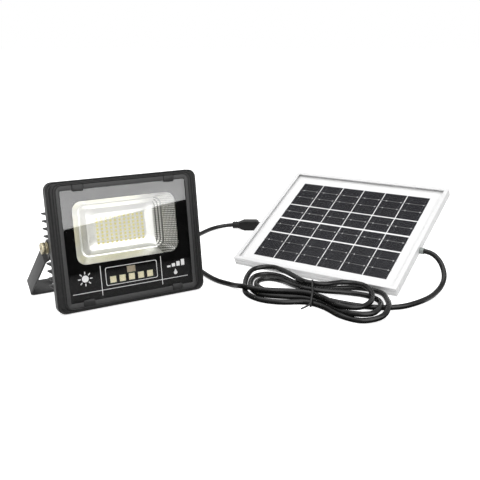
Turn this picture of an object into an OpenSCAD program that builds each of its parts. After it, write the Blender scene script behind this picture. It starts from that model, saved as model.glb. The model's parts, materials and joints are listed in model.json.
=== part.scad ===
// Solar flood light. A lamp head hangs in a cranked U bracket, a framed solar
// panel tilts on a small stand, and a plug-in lead joins the two.
// Millimetres, Z up. The pair stands on Z = 0.

/* [Lamp head] */
// Width of the front bezel
lamp_w = 200; // [160:1:260]
// Height of the front bezel
lamp_h = 162; // [146:1:200]
// Corner radius of the front bezel
lamp_r = 10; // [4:0.5:20]
// Depth of the bezel's full-size band behind its front face
bezel_d = 12; // [8:0.5:20]
// Width of the bezel's rim at the two sides
rim_side = 11.6; // [8:0.1:16]
// Width of the bezel's rim at top and bottom
rim_end = 5; // [4:0.1:9]
// Depth from the bezel's front face to the housing's rear wall
body_d = 36.9; // [34:0.1:60]
// Height of the cooling fins on the rear wall
fin_h = 9.6; // [4:0.1:20]
// Thickness of one cooling fin
fin_t = 1.6; // [1:0.1:3]
// Distance between cooling fins
fin_pitch = 9.5; // [7:0.1:14]
// Wall of the die-cast housing
wall = 3.5; // [2.5:0.1:5]
// Backward lean of the lamp as it stands
lean = 8; // [0:0.5:20]

/* [Glass and light] */
// Thickness of the front glass
glass_t = 4; // [3:0.1:6]
// Width of the glass seal that shows at the sides
seal_side = 5; // [3:0.1:8]
// Width of the glass seal that shows at top and bottom
seal_end = 6.4; // [3:0.1:8]
// Width of the reflector's mouth
mouth_w = 138; // [110:1:150]
// Height of the reflector's mouth
mouth_h = 79; // [60:1:84]
// Width of the light-emitting board
led_w = 70; // [50:1:90]
// Height of the light-emitting board
led_h = 38; // [28:1:50]
// Side of one square charge indicator
ind_s = 8.4; // [5:0.1:10]
// Distance between charge indicators
ind_pitch = 12.6; // [11:0.1:15]
// Diameter of one battery cell
cell_d = 18.4; // [14:0.1:18.6]
// Length of one battery cell
cell_l = 65; // [50:1:68]

/* [Lamp bracket and pivot] */
// Distance from the pivot to the underside of the bracket's base bar
arm_len = 93.5; // [92:0.5:120]
// Width of the bracket's steel strip
arm_w = 21; // [17:0.5:26]
// Thickness of the bracket's steel strip
arm_t = 2.5; // [2:0.1:4]
// How much farther apart the arms stand at the base bar than at the pivot, each side
arm_splay = 13.6; // [6:0.1:25]
// Diameter of the pivot bolts
bolt_d = 8; // [6:0.5:10]
// Depth from the bezel's front face to the pivot axis
pivot_back = 31.5; // [29:0.5:45]
// Diameter of the round fixing hole in the middle of the base bar
fix_d = 10.5; // [6:0.5:12]
// Width of the two fixing slots in the base bar
slot_w = 8.5; // [5:0.5:10]
// Length of the two fixing slots
slot_l = 18; // [11:0.5:24]
// Distance of each slot's middle from the middle of the bar
slot_x = 69; // [55:0.5:85]

/* [Solar panel] */
// Width of the panel along its near edge
panel_w = 258; // [210:1:340]
// Depth of the panel from near edge to far edge
panel_h = 218.5; // [180:1:300]
// Height of the panel's aluminium frame
panel_t = 13.7; // [13:0.1:20]
// Width of the frame's lip over the glass
lip_w = 6; // [4:0.5:10]
// Wall of the frame section
rail_t = 1.5; // [1:0.1:2]
// Tilt of the panel as it stands
tilt = 28.1; // [10:0.5:45]
// Distance between cell columns
cell_pitch = 35.6; // [30:0.1:36.6]
// Gap between neighbouring cells
cell_gap = 1.6; // [0.8:0.1:3]

/* [Panel stand] */
// Side of the stand's base plate
foot_s = 84; // [70:1:120]
// Thickness of the stand's steel plates
foot_t = 3; // [2:0.1:4]
// Diameter of the circle through the stand's fixing holes
foot_pcd = 64; // [56:1:84]
// Diameter of one fixing hole in the stand
foot_hole = 5.5; // [4:0.1:7]
// Diameter of the stand's pivot bolt
pin_d = 6; // [5:0.5:8]

/* [Leads] */
// Diameter of the lead
lead_d = 7; // [5:0.5:8]
// Height of the tied hank
hank_h = 21; // [14:1:28]
// Width of the moulded plug
plug_w = 22; // [16:1:30]
// Thickness of the moulded plug
plug_t = 16; // [12:1:20]

/* [Hidden] */
$fn = 48;
e = 0.01;
fit = 0.05;                      // running clearance, each side
gap = 0.4;                       // between pieces that turn past each other

// --- places -------------------------------------------------------------
lamp_turn = 30.7;                // the lamp faces left of the viewer
panel_turn = -34.1;              // the panel faces left as well
pivot_xy = [-170, -101.4];
panel_xy = [-20.9, 29.1];        // the panel's near left corner

front = -pivot_back;             // the bezel's foremost face, behind it is +Y
crest = 1.5;                     // the ring stands this far ahead of the band
glass_y = front + 1.8;           // front of the glass
print_y = glass_y + glass_t;     // back of the glass
print_t = 0.3;
rear_y = front + body_d;         // outside of the rear wall
floor_y = rear_y - wall;         // inside of the rear wall
rear_band = 3;                   // the bezel's inset band behind bezel_d
pivot_z = lamp_h / 2 * cos(lean) - (pivot_back - bezel_d) * sin(lean) + 0.1;
arm_a = atan2(arm_w / 2, arm_len) + acos(pivot_z / norm([arm_len, arm_w / 2]));

house_x = lamp_w / 2 - 14;       // outside of the housing's side walls
house_z = lamp_h / 2 - 13;       // outside of its top and bottom walls
flange_x = lamp_w / 2 - 7;
flange_z = lamp_h / 2 - 6;
fin_x = lamp_w / 2 - 2;          // ends of the side fins
ear_in = lamp_w / 2 - 5.55;      // inner face of the bracket's ears
ear_out = ear_in + arm_t;
jog_in = fin_x + 0.8;            // inner face of the arms past the fins
base_in = ear_in + arm_splay;
boss_r = 11;

mouth_z = 15;                    // centre of the reflector's mouth
led_z = 12;                      // centre of the light board
ind_z = -48.5;                   // row of charge indicators
rx_z = -38.6;                    // remote receiver
board_y = print_y + print_t + 1; // front of the control board

hinge_b = panel_h / 2;           // the panel's pivot, from its near edge
hinge_c = -16;                   // and below the frame
foot_xy = [panel_w / 2, hinge_b * cos(tilt) - hinge_c * sin(tilt)];
hinge_z = hinge_b * sin(tilt) + hinge_c * cos(tilt);
ear_half = 16;                   // outside of the panel bracket's ears

lam_top = panel_t - rail_t;      // top of the laminate
glass_c = lam_top - 3;
ribbon_c = glass_c - 0.2;
cell_c = ribbon_c - 0.4;
sheet_c = cell_c - 0.6;
exit_b = 88;                     // lead exit, from the near edge
exit_c = 4.4;
stub_out = 10;                   // straight lead outside the rail
// cell rows: start and depth, from the near edge
rows = [[19, 53], [75, 30.5], [109, 31], [142.5, 53]];
cols = 6;
cells_a = (panel_w - cols * cell_pitch + cell_gap) / 2 + 1.2;
row_k = panel_h / 218.5;         // the rows keep their shares of the glass

// --- turning points into place -------------------------------------------
function rx(a, p) = [p[0], p[1] * cos(a) - p[2] * sin(a), p[1] * sin(a) + p[2] * cos(a)];
function rz(a, p) = [p[0] * cos(a) - p[1] * sin(a), p[0] * sin(a) + p[1] * cos(a), p[2]];
function head_pt(p) = rz(lamp_turn, rx(-lean, p)) + [pivot_xy[0], pivot_xy[1], pivot_z];
function lamp_floor(x, b, z) = rz(lamp_turn, [x, b, 0]) + [pivot_xy[0], pivot_xy[1], z];
function panel_pt(p) = rz(panel_turn, rx(tilt, p)) + [panel_xy[0], panel_xy[1], 0];
function arm_pt(p) = rz(lamp_turn, rx(arm_a, p)) + [pivot_xy[0], pivot_xy[1], pivot_z];

// the origin lies under the middle of the pair's box
corners = concat(
  [for (x = [-1, 1], y = [-1, 1]) arm_pt([x * (base_in + arm_t), y * arm_w / 2, -arm_len])],
  [for (x = [-1, 1], z = [-1, 1]) head_pt([x * (lamp_w / 2 - lamp_r * 0.1), front, z * lamp_h / 2])],
  [for (a = [0, panel_w], b = [0, panel_h], c = [0, panel_t]) panel_pt([a, b, c])]);
xs = [for (p = corners) p[0]];
ys = [for (p = corners) p[1]];
origin = [-(min(xs) + max(xs)) / 2, -(min(ys) + max(ys)) / 2, 0];

// --- lead routes ----------------------------------------------------------
gland_x = 20;
gland_z = -20;
stub_y = 66;                     // end of the straight lead behind the lamp
// from behind the lamp down over the base bar to the floor, and away to the plug
lamp_lead_pts = concat([head_pt([gland_x, stub_y + 2.6, gland_z])],
  [for (p = [[20.5, 79.5, 45], [21.5, 88, 40.4], [23.5, 95, 33.7], [27, 102, 25],
     [32, 109, 16.5], [39, 116, 9.8], [48, 123.5, 5.4], [59, 131, 3.7], [74, 139, 3.5],
     [92, 148, 3.5], [120, 160, 3.5], [150, 172, 3.5], [180, 186, 3.5], [205, 198, 3.5]])
     lamp_floor(p[0], p[1], p[2])],
  [[-83, 196.5, 3.5], [-74.5, 214, 3.5], [-66, 228, 3.7], [-54.5, 238, 4.6],
   [-41, 241, 6.4], [-27, 240, 8]]);
plug_at = [-27, 240, 8];
// the routes were laid beside a lamp and a panel of these sizes, and move with them
drawn_lamp_w = 200;
drawn_panel_w = 258;
drawn_tilt = 28.1;
lamp_grow = rz(lamp_turn, [(lamp_w - drawn_lamp_w) / 2, 0, 0]);
exit_move = rz(panel_turn, rx(tilt, [panel_w, exit_b, exit_c]) - rx(drawn_tilt, [drawn_panel_w, exit_b, exit_c]));
// each point's share of that move, less and less towards the hank
function moved(pts, move, share) = [for (i = [0:len(pts) - 1]) pts[i] + share[i] * move];
// from the hank's left end round the lamp's right to the socket
tail_share = [0, 0.25, 0.6, 1, 1, 1, 1, 1, 1, 1, 1];
tail_pts = moved([[-6, -91, 3.5], [-24, -78, 3.5], [-42, -64, 3.5], [-55, -47, 3.5],
  [-64.5, -30, 3.5], [-76, -8, 3.5], [-88, 11, 3.6], [-101, 26, 4.2],
  [-115, 34.5, 5.6], [-129, 36, 7.2], [-141, 31.5, 8]], lamp_grow, tail_share);
socket_at = tail_pts[len(tail_pts) - 1];
socket_turn = 204;
// from the panel's rail down to the floor and round to the hank
flat_move = [exit_move[0], exit_move[1], 0];
loop_share = [1, 1, 1, 1, 1, 1, 1, 1, 1, 1, 0.75, 0.45, 0.15, 0];
drop_share = [0.9, 0.75, 0.6, 0.45, 0.3, 0.15, 0, 0, 0, 0, 0, 0, 0, 0];
loop_pts = concat([for (a = [0.5, 6]) panel_pt([panel_w + stub_out + a, exit_b, exit_c])],
  moved(moved([[254, -66.5, 41.5], [258.8, -71.3, 35.5], [261.7, -77, 28.5], [262.4, -84.5, 21], [260, -92, 14.8],
   [254.6, -101, 10], [245.4, -113, 6.3], [235, -125, 4.2], [222, -137.5, 3.5],
   [209, -148.2, 3.5], [198, -155.5, 3.5], [187.5, -161, 3.5], [176, -165.5, 3.5],
   [168, -166, 3.5]], flat_move, loop_share), [0, 0, exit_move[2]], drop_share));
// outlines of the hank's two lobes, which meet at its waist
lobe_left = [[17, -17], [-2, -37], [-9, -66], [-7, -90], [-5, -111], [11, -136], [39, -146],
  [75, -146], [85, -112], [54, -60], [41, -33]];
lobe_right = [[75, -146], [81, -147], [111, -199], [137, -212], [162, -196], [173, -160],
  [174, -124], [166, -113], [150, -102], [107, -96], [85, -108]];
tie_a = [86, -106];
tie_b = [74, -149];

// --- shared shapes ---------------------------------------------------------
module at_head() { translate(origin + [pivot_xy[0], pivot_xy[1], pivot_z])
  rotate([0, 0, lamp_turn]) rotate([-lean, 0, 0]) children(); }
module at_arm() { translate(origin + [pivot_xy[0], pivot_xy[1], pivot_z])
  rotate([0, 0, lamp_turn]) rotate([arm_a, 0, 0]) children(); }
module at_panel() { translate(origin + [panel_xy[0], panel_xy[1], 0])
  rotate([0, 0, panel_turn]) rotate([tilt, 0, 0]) children(); }
module at_stand() { translate(origin + rz(panel_turn, [foot_xy[0], foot_xy[1], 0])
  + [panel_xy[0], panel_xy[1], 0]) rotate([0, 0, panel_turn]) children(); }

// a rectangle with round corners, from exact squares and circles
module round_rect(w, h, r) {
  square([w - 2 * r, h], center = true);
  square([w, h - 2 * r], center = true);
  for (x = [-1, 1], y = [-1, 1])
    translate([x * (w / 2 - r), y * (h / 2 - r)]) circle(r = r);
}
// a plate that lies across the lamp, from y0 back to y1
module slab(y0, y1) { translate([0, y1, 0]) rotate([90, 0, 0])
  linear_extrude(y1 - y0) children(); }
// a bar along X from x0 to x1
module rod_x(x0, x1, r) { translate([x0, 0, 0]) rotate([0, 90, 0]) cylinder(h = x1 - x0, r = r); }
// a round bar along Y from y0 to y1
module rod_y(y0, y1, r) { translate([0, y0, 0]) rotate([-90, 0, 0]) cylinder(h = y1 - y0, r = r); }
module both_sides() { children(); mirror([1, 0, 0]) children(); }

function unit(v) = v / norm(v);
function ring(p, t, r, n) = let (s = unit(cross([0, 0, 1], t)), u = cross(t, s))
  [for (i = [0:n - 1]) p + r * (cos(360 * i / n) * s + sin(360 * i / n) * u)];
module lead(pts, r, n = 10) {
  m = len(pts);
  rings = [for (i = [0:m - 1]) each ring(pts[i],
    unit(pts[min(i + 1, m - 1)] - pts[max(i - 1, 0)]), r, n)];
  faces = concat(
    [[for (j = [n - 1:-1:0]) j]],
    [for (i = [0:m - 2], j = [0:n - 1]) each
      [[i * n + j, i * n + (j + 1) % n, (i + 1) * n + j],
       [i * n + (j + 1) % n, (i + 1) * n + (j + 1) % n, (i + 1) * n + j]]],
    [[for (j = [0:n - 1]) (m - 1) * n + j]]);
  polyhedron(rings, [for (f = faces) [for (k = [len(f) - 1:-1:0]) f[k]]]);
}

// --- lamp head --------------------------------------------------------------
open_x = lamp_w / 2 - rim_side;
open_z = lamp_h / 2 - rim_end;
pane_x = open_x - 1.5;
pane_z = open_z - 1.5;

module front_bezel() color("#2c2c2e") at_head() difference() {
  union() {
    slab(front + crest, front + bezel_d) round_rect(lamp_w, lamp_h, lamp_r);
    slab(front, front + crest + e) round_rect(lamp_w - 10, lamp_h - 4, lamp_r - 2);
    slab(front + bezel_d - e, front + bezel_d + rear_band)
      round_rect(lamp_w - 3, lamp_h - 3, lamp_r - 1.5);
  }
  slab(front - 1, print_y + print_t) round_rect(2 * open_x, 2 * open_z, 3);
  slab(print_y, front + bezel_d + rear_band + 1)
    round_rect(2 * open_x - 6, 2 * open_z - 4, 4);
  for (p = screw_at) translate([p[0], 0, p[1]])
    rod_y(front + bezel_d + rear_band - 8, front + bezel_d + rear_band + 1, 2.1);
}

module glass_seal() color("#4a4a4c") at_head() difference() {
  slab(front + 0.6, glass_y) round_rect(2 * open_x - 0.4, 2 * open_z - 0.4, 3);
  slab(front - 1, glass_y + 1)
    round_rect(2 * (open_x - seal_side), 2 * (open_z - seal_end), 1.5);
  for (c = clip_at) translate([c[0], glass_y, c[1]])
    cube([clip_w + 0.4, 10, 2 * clip_in + 2], center = true);
}

module front_glass() color("#c8d0d0", 0.35) at_head()
  slab(glass_y, print_y) round_rect(2 * pane_x, 2 * pane_z, 2.5);

// black screen print on the back of the glass, clear at the light and the signals
module glass_print() color("#0c0c0d") at_head() difference() {
  slab(print_y, print_y + print_t) round_rect(2 * pane_x, 2 * pane_z, 2.5);
  translate([0, 0, mouth_z]) slab(print_y - 1, print_y + 1) round_rect(mouth_w, mouth_h, 12);
  for (i = [-2:2]) translate([i * ind_pitch, print_y, ind_z])
    cube([ind_s, 4, ind_s + 0.8], center = true);
  translate([0, print_y, rx_z]) cube([12, 4, 9], center = true);
}

clip_w = 14;
clip_in = 4.2;
clip_at = [for (x = [-60.5, 60.5], s = [-1, 1]) [x * lamp_w / 200, s * (open_z - clip_in)]];
module glass_clips() color("#3a3a3c") at_head()
  for (c = clip_at) translate([c[0], 0, c[1]])
    slab(front + 0.1, glass_y) round_rect(clip_w, 2 * clip_in, 1.5);

module taper(w, h, z, y0, w2, h2, z2, y1, r, r2, grow) hull() {
  translate([0, 0, z]) slab(y0, y0 + 0.5) round_rect(w + 2 * grow, h + 2 * grow, r + grow, $fn = 32);
  translate([0, 0, z2]) slab(y1 - 0.5, y1) round_rect(w2 + 2 * grow, h2 + 2 * grow, r2 + grow, $fn = 32);
}
mirror_t = 1.2;
led_y = floor_y - 1.6;           // front of the light board
module reflector() color("#e8e8ea") at_head() difference() {
  union() {
    taper(mouth_w, mouth_h, mouth_z, print_y + print_t, led_w, led_h, led_z, led_y, 12, 5, mirror_t);
    translate([0, 0, mouth_z]) slab(print_y + print_t, print_y + print_t + 1)
      round_rect(mouth_w + 6, mouth_h + 6, 14, $fn = 32);
  }
  taper(mouth_w, mouth_h, mouth_z, print_y + print_t - 1, led_w, led_h, led_z, led_y + 0.6, 12, 5, 0);
}

module led_board() color("#f2f2ee") at_head() translate([0, 0, led_z])
  slab(led_y, floor_y) round_rect(led_w + 8, led_h + 8, 2);

chip_px = (led_w - 8) / 10;
chip_pz = (led_h - 4) / 7.4;
module led_chips() color("#f0dc5a") at_head()
  for (i = [0:10], j = [0:7]) translate([(i - 5) * chip_px, led_y - 0.4, led_z + (j - 3.5) * chip_pz])
    cube([2.8, 0.8, 2.8], center = true);

board_x = 61;
module control_board() color("#1f5a34") at_head() difference() {
  translate([-board_x, board_y, -62]) cube([2 * board_x, 1.6, 33.5]);
  for (x = [-1, 1], z = [-58, -32.5]) translate([x * (board_x - 4), 0, z]) rod_y(board_y - 1, board_y + 3, 1.6);
}
module charge_indicators() color("#efe9c8") at_head()
  for (i = [-2:2]) translate([i * ind_pitch, print_y + print_t, ind_z])
    translate([-ind_s / 2 + 0.2, 0, -ind_s / 2 + 0.2]) cube([ind_s - 0.4, 1, ind_s - 0.4]);
module remote_receiver() color("#b8a888") at_head()
  translate([-5.5, print_y + print_t, rx_z - 4]) cube([11, 1, 8]);

cell_zs = [-house_z + wall + cell_d / 2 + 0.3, -house_z + wall + cell_d * 1.5 + 0.9];
cell_y = floor_y - cell_d / 2 - 0.3;
module battery_cells() color("#3a6ea5") at_head()
  for (s = [-1, 1], z = cell_zs) translate([s * (cell_l / 2 + 0.8), cell_y, z])
    rod_x(-cell_l / 2, cell_l / 2, cell_d / 2);
module battery_tray() color("#1c1c1e") at_head() difference() {
  translate([-cell_l - 3, cell_y + 3, cell_zs[0] - cell_d / 2 - 0.2])
    cube([2 * cell_l + 6, floor_y - cell_y - 3, cell_zs[1] - cell_zs[0] + cell_d + 0.4]);
  for (z = cell_zs) translate([0, cell_y, z]) rod_x(-cell_l - 1.2, cell_l + 1.2, cell_d / 2 + 0.1);
}

screw_at = concat([for (x = [-1, 1], z = [-1, 1]) [x * (house_x + 3.5), z * (lamp_h / 2 - 19)]],
  [for (x = [-1, 1], z = [-1, 1]) [x * 45, z * (house_z + 3.5)]]);
side_fins = concat([for (k = [0:3]) 13.5 + k * fin_pitch], [for (k = [0:3]) -21.5 - k * fin_pitch]);
rear_fins = [4.75, -4, -12.75, 13.5 + 4 * fin_pitch];
front_of_housing = front + bezel_d + rear_band;
module fin(half, y0) {
  r = 6;
  y1 = rear_y + fin_h;
  translate([-half, y0]) square([2 * half, y1 - r - y0]);
  translate([-half + r, y0]) square([2 * half - 2 * r, y1 - y0]);
  for (s = [-1, 1]) translate([s * (half - r), y1 - r]) circle(r = r);
}
module rear_housing() color("#202022") at_head() difference() {
  union() {
    slab(front_of_housing, front_of_housing + 4) round_rect(2 * flange_x, 2 * flange_z, 8);
    slab(front_of_housing, rear_y) round_rect(2 * house_x, 2 * house_z, 14);
    for (z = side_fins) translate([0, 0, z - fin_t / 2])
      linear_extrude(fin_t) fin(fin_x, front_of_housing + 5);
    for (z = rear_fins) translate([0, 0, z - fin_t / 2])
      linear_extrude(fin_t) fin(house_x - 8, rear_y - 2);
    both_sides() rod_x(house_x - 12, ear_in - gap, boss_r);
  }
  difference() {
    slab(front_of_housing - 1, floor_y) round_rect(2 * (house_x - wall), 2 * (house_z - wall), 10.5);
    both_sides() rod_x(house_x - 12, ear_in, 8.5);
  }
  both_sides() rod_x(house_x - 8, ear_in + 1, bolt_d / 2 + fit);
  for (p = screw_at) translate([p[0], 0, p[1]])
    rod_y(front_of_housing - 1, front_of_housing + 5, 2.1);
  for (x = [gland_x, -gland_x - 24]) translate([x, 0, gland_z]) {
    rod_y(rear_y, rear_y + fin_h + 1, 12.5);
    rod_y(floor_y - 1, rear_y + 1, 6.05);
  }
}
module bezel_screws() color("#8d8d90") at_head() for (p = screw_at) translate([p[0], 0, p[1]]) difference() {
  union() {
    rod_y(front_of_housing - 7, front_of_housing + 4, 2);
    rod_y(front_of_housing + 4, front_of_housing + 6.6, 3.4);
  }
  for (a = [0, 90]) translate([0, front_of_housing + 6.6, 0]) rotate([0, a, 0])
    cube([4, 2.4, 0.9], center = true);
}
module breather_vent() color("#151516") at_head() translate([-gland_x - 24, 0, gland_z]) {
  rod_y(rear_y - 2.4, rear_y, 6);
  rod_y(rear_y, rear_y + 2, 9);
  translate([0, rear_y + 2, 0]) rotate([-90, 0, 0]) cylinder(h = 3, r = 8, $fn = 6);
}
gland_l = 17;
module lamp_gland() color("#18181a") at_head() translate([gland_x, 0, gland_z]) difference() {
  union() {
    rod_y(rear_y - 2.4, rear_y, 6);
    translate([0, rear_y, 0]) rotate([-90, 0, 0]) cylinder(h = 5, r = 10.4, $fn = 6);
    rod_y(rear_y + 5, rear_y + 7, 7.5);
    rod_y(rear_y + 7, rear_y + gland_l, 9);
  }
  rod_y(rear_y - 4, rear_y + gland_l + 1, lead_d / 2 + fit);
}
module lamp_strain_relief() color("#141415") at_head() translate([gland_x, rear_y + gland_l, gland_z])
  rotate([-90, 0, 0]) difference() {
    cylinder(h = 22, r1 = 6.2, r2 = lead_d / 2 + 0.8);
    translate([0, 0, -1]) cylinder(h = 24, r = lead_d / 2 + fit);
  }
module lamp_lead_stub() color("#101011") at_head() translate([gland_x, 0, gland_z])
  rod_y(rear_y - 1, stub_y, lead_d / 2);

// bolts clamp the bracket's ears against the housing's bosses
washer_t = 1.2;
spring_t = 1.8;
head_t = 5;
bolt_x = ear_out + gap;
module pivot_bolts() color("#c9b77c") at_head() both_sides() difference() {
  union() {
    rod_x(house_x - 7, bolt_x + washer_t + spring_t, bolt_d / 2);
    translate([bolt_x + washer_t + spring_t, 0, 0]) rotate([0, 90, 0])
      cylinder(h = head_t, r = bolt_d * 0.94, $fn = 6);
  }
  for (a = [0, 90]) translate([bolt_x + washer_t + spring_t + head_t, 0, 0]) rotate([a, 0, 0])
    cube([4, 8, 1.4], center = true);
}
module spring_washers() color("#b7a56c") at_head() both_sides() difference() {
  rod_x(bolt_x + washer_t, bolt_x + washer_t + spring_t, bolt_d * 0.86);
  rod_x(bolt_x, bolt_x + 9, bolt_d / 2 + 0.1);
  translate([bolt_x + 2, 5, 0]) cube([9, 6, 1], center = true);
}
module flat_washers() color("#c4b277") at_head() both_sides() difference() {
  rod_x(bolt_x, bolt_x + washer_t, bolt_d);
  rod_x(bolt_x - 1, bolt_x + 9, bolt_d / 2 + 0.1);
}

// --- lamp bracket -------------------------------------------------------------
bend = 6;
// half of the strip's path, seen along it: ear, crank, arm and base bar
function arc_pts(c, r, a0, a1, n) = [for (i = [0:n]) c + r * [cos(a0 + (a1 - a0) * i / n), sin(a0 + (a1 - a0) * i / n)]];
crank_in = 12.4;                 // the crank starts and ends this far below the pivot
crank_out = 17.4;
arm_lean = atan2(base_in - jog_in, arm_len - arm_t - crank_out);
module bracket_half() polygon(concat(
  [[-e, -arm_len], [base_in + arm_t - bend, -arm_len]],
  arc_pts([base_in + arm_t - bend, -arm_len + bend], bend, -90, arm_lean, 6),
  [[jog_in + arm_t, -crank_out + 0.9], [ear_out, -crank_in + 0.9], [ear_out, arm_w / 2 + 1],
   [ear_in, arm_w / 2 + 1], [ear_in, -crank_in], [jog_in, -crank_out]],
  arc_pts([base_in + arm_t - bend, -arm_len + bend], bend - arm_t, arm_lean, -90, 6),
  [[-e, -arm_len + arm_t]]));
module lamp_bracket() color("#57585b") at_arm() difference() {
  intersection() {
    rotate([90, 0, 0]) translate([0, 0, -arm_w / 2]) linear_extrude(arm_w) {
      bracket_half();
      mirror([1, 0]) bracket_half();
    }
    union() {
      rod_x(-lamp_w, lamp_w, arm_w / 2);
      translate([-lamp_w, -arm_w, -2 * arm_len]) cube([2 * lamp_w, 2 * arm_w, 2 * arm_len]);
    }
  }
  rod_x(-lamp_w, lamp_w, bolt_d / 2 + fit);
  translate([0, 0, -arm_len - 1]) cylinder(h = arm_t + 2, d = fix_d);
  for (s = [-1, 1]) {
    for (x = [-1, 1]) translate([s * slot_x + x * (slot_l - slot_w) / 2, 0, -arm_len - 1])
      cylinder(h = arm_t + 2, d = slot_w);
    translate([s * slot_x, 0, -arm_len]) cube([slot_l - slot_w, slot_w, 3 * arm_t], center = true);
  }
}

// --- leads ---------------------------------------------------------------------
module lamp_lead() color("#101011") translate(origin) lead(lamp_lead_pts, lead_d / 2);
module panel_lead_tail() color("#101011") translate(origin) lead(tail_pts, lead_d / 2);
module panel_lead_loop() color("#101011") translate(origin) lead(loop_pts, lead_d / 2);
// the tied turns of lead, as one solid inside their outline
module lobe(outline) hull() for (p = outline) translate(p) cylinder(h = hank_h, r = 4, $fn = 32);
module lead_hank() color("#121213") translate(origin) {
  lobe(lobe_left);
  lobe(lobe_right);
}
module hank_tie() color("#0c0c0c") translate(origin) {
  v = tie_b - tie_a;
  translate(tie_a) rotate([0, 0, atan2(v[1], v[0])]) translate([0, -2.5, hank_h]) cube([norm(v), 5, 2.5]);
}
// flat moulded connector body along +X: collar, shoulder and block
module moulding(nose) {
  difference() {
    union() {
      rod_x(-1, 13, 5.9);
      for (x = [1.5, 5, 8.5]) rod_x(x, x + 1.6, 6.4);
      hull() {
        translate([11, -5.8, -5.4]) cube([1, 11.6, 10.8]);
        translate([20, -plug_w / 2, -plug_t / 2]) cube([1, plug_w, plug_t]);
      }
      translate([20.5, -plug_w / 2, -plug_t / 2]) cube([22, plug_w, plug_t]);
      hull() {
        translate([42, -plug_w / 2, -plug_t / 2]) cube([0.5, plug_w, plug_t]);
        translate([46, -plug_w / 2 + 3, -plug_t / 2 + 2]) cube([0.5, plug_w - 6, plug_t - 4]);
      }
      if (nose) rod_x(46, 56, 5.2);
    }
    rod_x(-2, 1, lead_d / 2 + 2 * fit);
    if (!nose) rod_x(34, 47, 5.4);
  }
}
module lead_plug() color("#17171a") translate(origin + plug_at) moulding(true);
module plug_pins() color("#cdb46a") translate(origin + plug_at) for (y = [-2.3, 2.3])
  translate([0, y, 0]) rod_x(56, 62, 1);
module lead_socket() color("#17171a") translate(origin + socket_at) rotate([0, 0, socket_turn]) moulding(false);

// --- panel stand ----------------------------------------------------------------
foot_ear_in = ear_half + gap;
module stand_foot() color("#9a9b9d") at_stand() difference() {
  union() {
    linear_extrude(foot_t) round_rect(foot_s, foot_s, 8);
    both_sides() {
      translate([foot_ear_in, -13, 0]) cube([foot_t, 26, hinge_z]);
      translate([0, 0, hinge_z]) rod_x(foot_ear_in, foot_ear_in + foot_t, 9);
    }
  }
  translate([0, 0, hinge_z]) rod_x(-50, 50, pin_d / 2 + fit);
  for (a = [45:90:315]) rotate([0, 0, a]) translate([foot_pcd / 2, 0, -1])
    cylinder(h = foot_t + 2, d = foot_hole);
}
pin_x = foot_ear_in + foot_t;
module stand_bolt() color("#b9babc") at_stand() translate([0, 0, hinge_z]) {
  rod_x(-pin_x - 1.6, pin_x + 12, pin_d / 2);
  translate([-pin_x - 1.6 - 4, 0, 0]) rotate([0, 90, 0]) cylinder(h = 4, r = pin_d * 0.96, $fn = 6);
}
module stand_washers() color("#b9babc") at_stand() translate([0, 0, hinge_z]) both_sides() difference() {
  rod_x(pin_x, pin_x + 1.6, pin_d);
  rod_x(pin_x - 1, pin_x + 3, pin_d / 2 + fit);
}
module stand_wing_nut() color("#b9babc") at_stand() translate([0, 0, hinge_z]) difference() {
  union() {
    rod_x(pin_x + 1.6, pin_x + 7, 5.5);
    for (s = [-1, 1]) translate([pin_x + 3.4, s * 9, 0]) {
      translate([0, -s * 3, 0]) cube([3, 9, 5], center = true);
      translate([3, s * 3, 0]) rod_x(-4, 5, 3.2);
    }
  }
  rod_x(pin_x, pin_x + 20, pin_d / 2 + fit);
}

// --- solar panel -----------------------------------------------------------------
flange_w = 12;
shelf_w = 7;
// frame section: X goes inwards from the outer face, Y up
module section() {
  square([rail_t, panel_t]);
  square([flange_w, rail_t]);
  translate([0, sheet_c - rail_t]) square([shelf_w, rail_t]);
  translate([0, lam_top]) square([lip_w, rail_t]);
}
// a rail along X with its outer face on Y = 0, mitred at both ends
module rail(len) intersection() {
  rotate([90, 0, 90]) linear_extrude(len) section();
  translate([0, 0, -1]) linear_extrude(panel_t + 2)
    polygon([[0.06, -e], [len - 0.06, -e], [len - flange_w - 1.06, flange_w + 1], [flange_w + 1.06, flange_w + 1]]);
}
module rail_near() color("#d4d6d8") at_panel() rail(panel_w);
module rail_far() color("#d4d6d8") at_panel() translate([panel_w, panel_h, 0]) rotate([0, 0, 180]) rail(panel_w);
module rail_left() color("#d4d6d8") at_panel() translate([0, panel_h, 0]) rotate([0, 0, -90]) rail(panel_h);
module rail_right() color("#d4d6d8") at_panel() difference() {
  translate([panel_w, 0, 0]) rotate([0, 0, 90]) rail(panel_h);
  translate([0, exit_b, exit_c]) rod_x(panel_w - rail_t - 1, panel_w + 1, 4.1);
  translate([panel_w - flange_w - 1, exit_b - 5, -1]) cube([flange_w + 1 - rail_t, 10, sheet_c + 1 - e]);
}
// stamped angles pushed into the frame's corners
module corner_keys() color("#a9abad") at_panel()
  for (a = [0, 1], b = [0, 1]) translate([a * panel_w, b * panel_h, rail_t])
    mirror([a, 0, 0]) mirror([0, b, 0]) translate([rail_t, rail_t, 0]) {
      cube([22, 2, sheet_c - 2 * rail_t]);
      cube([2, 22, sheet_c - 2 * rail_t]);
    }

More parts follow.
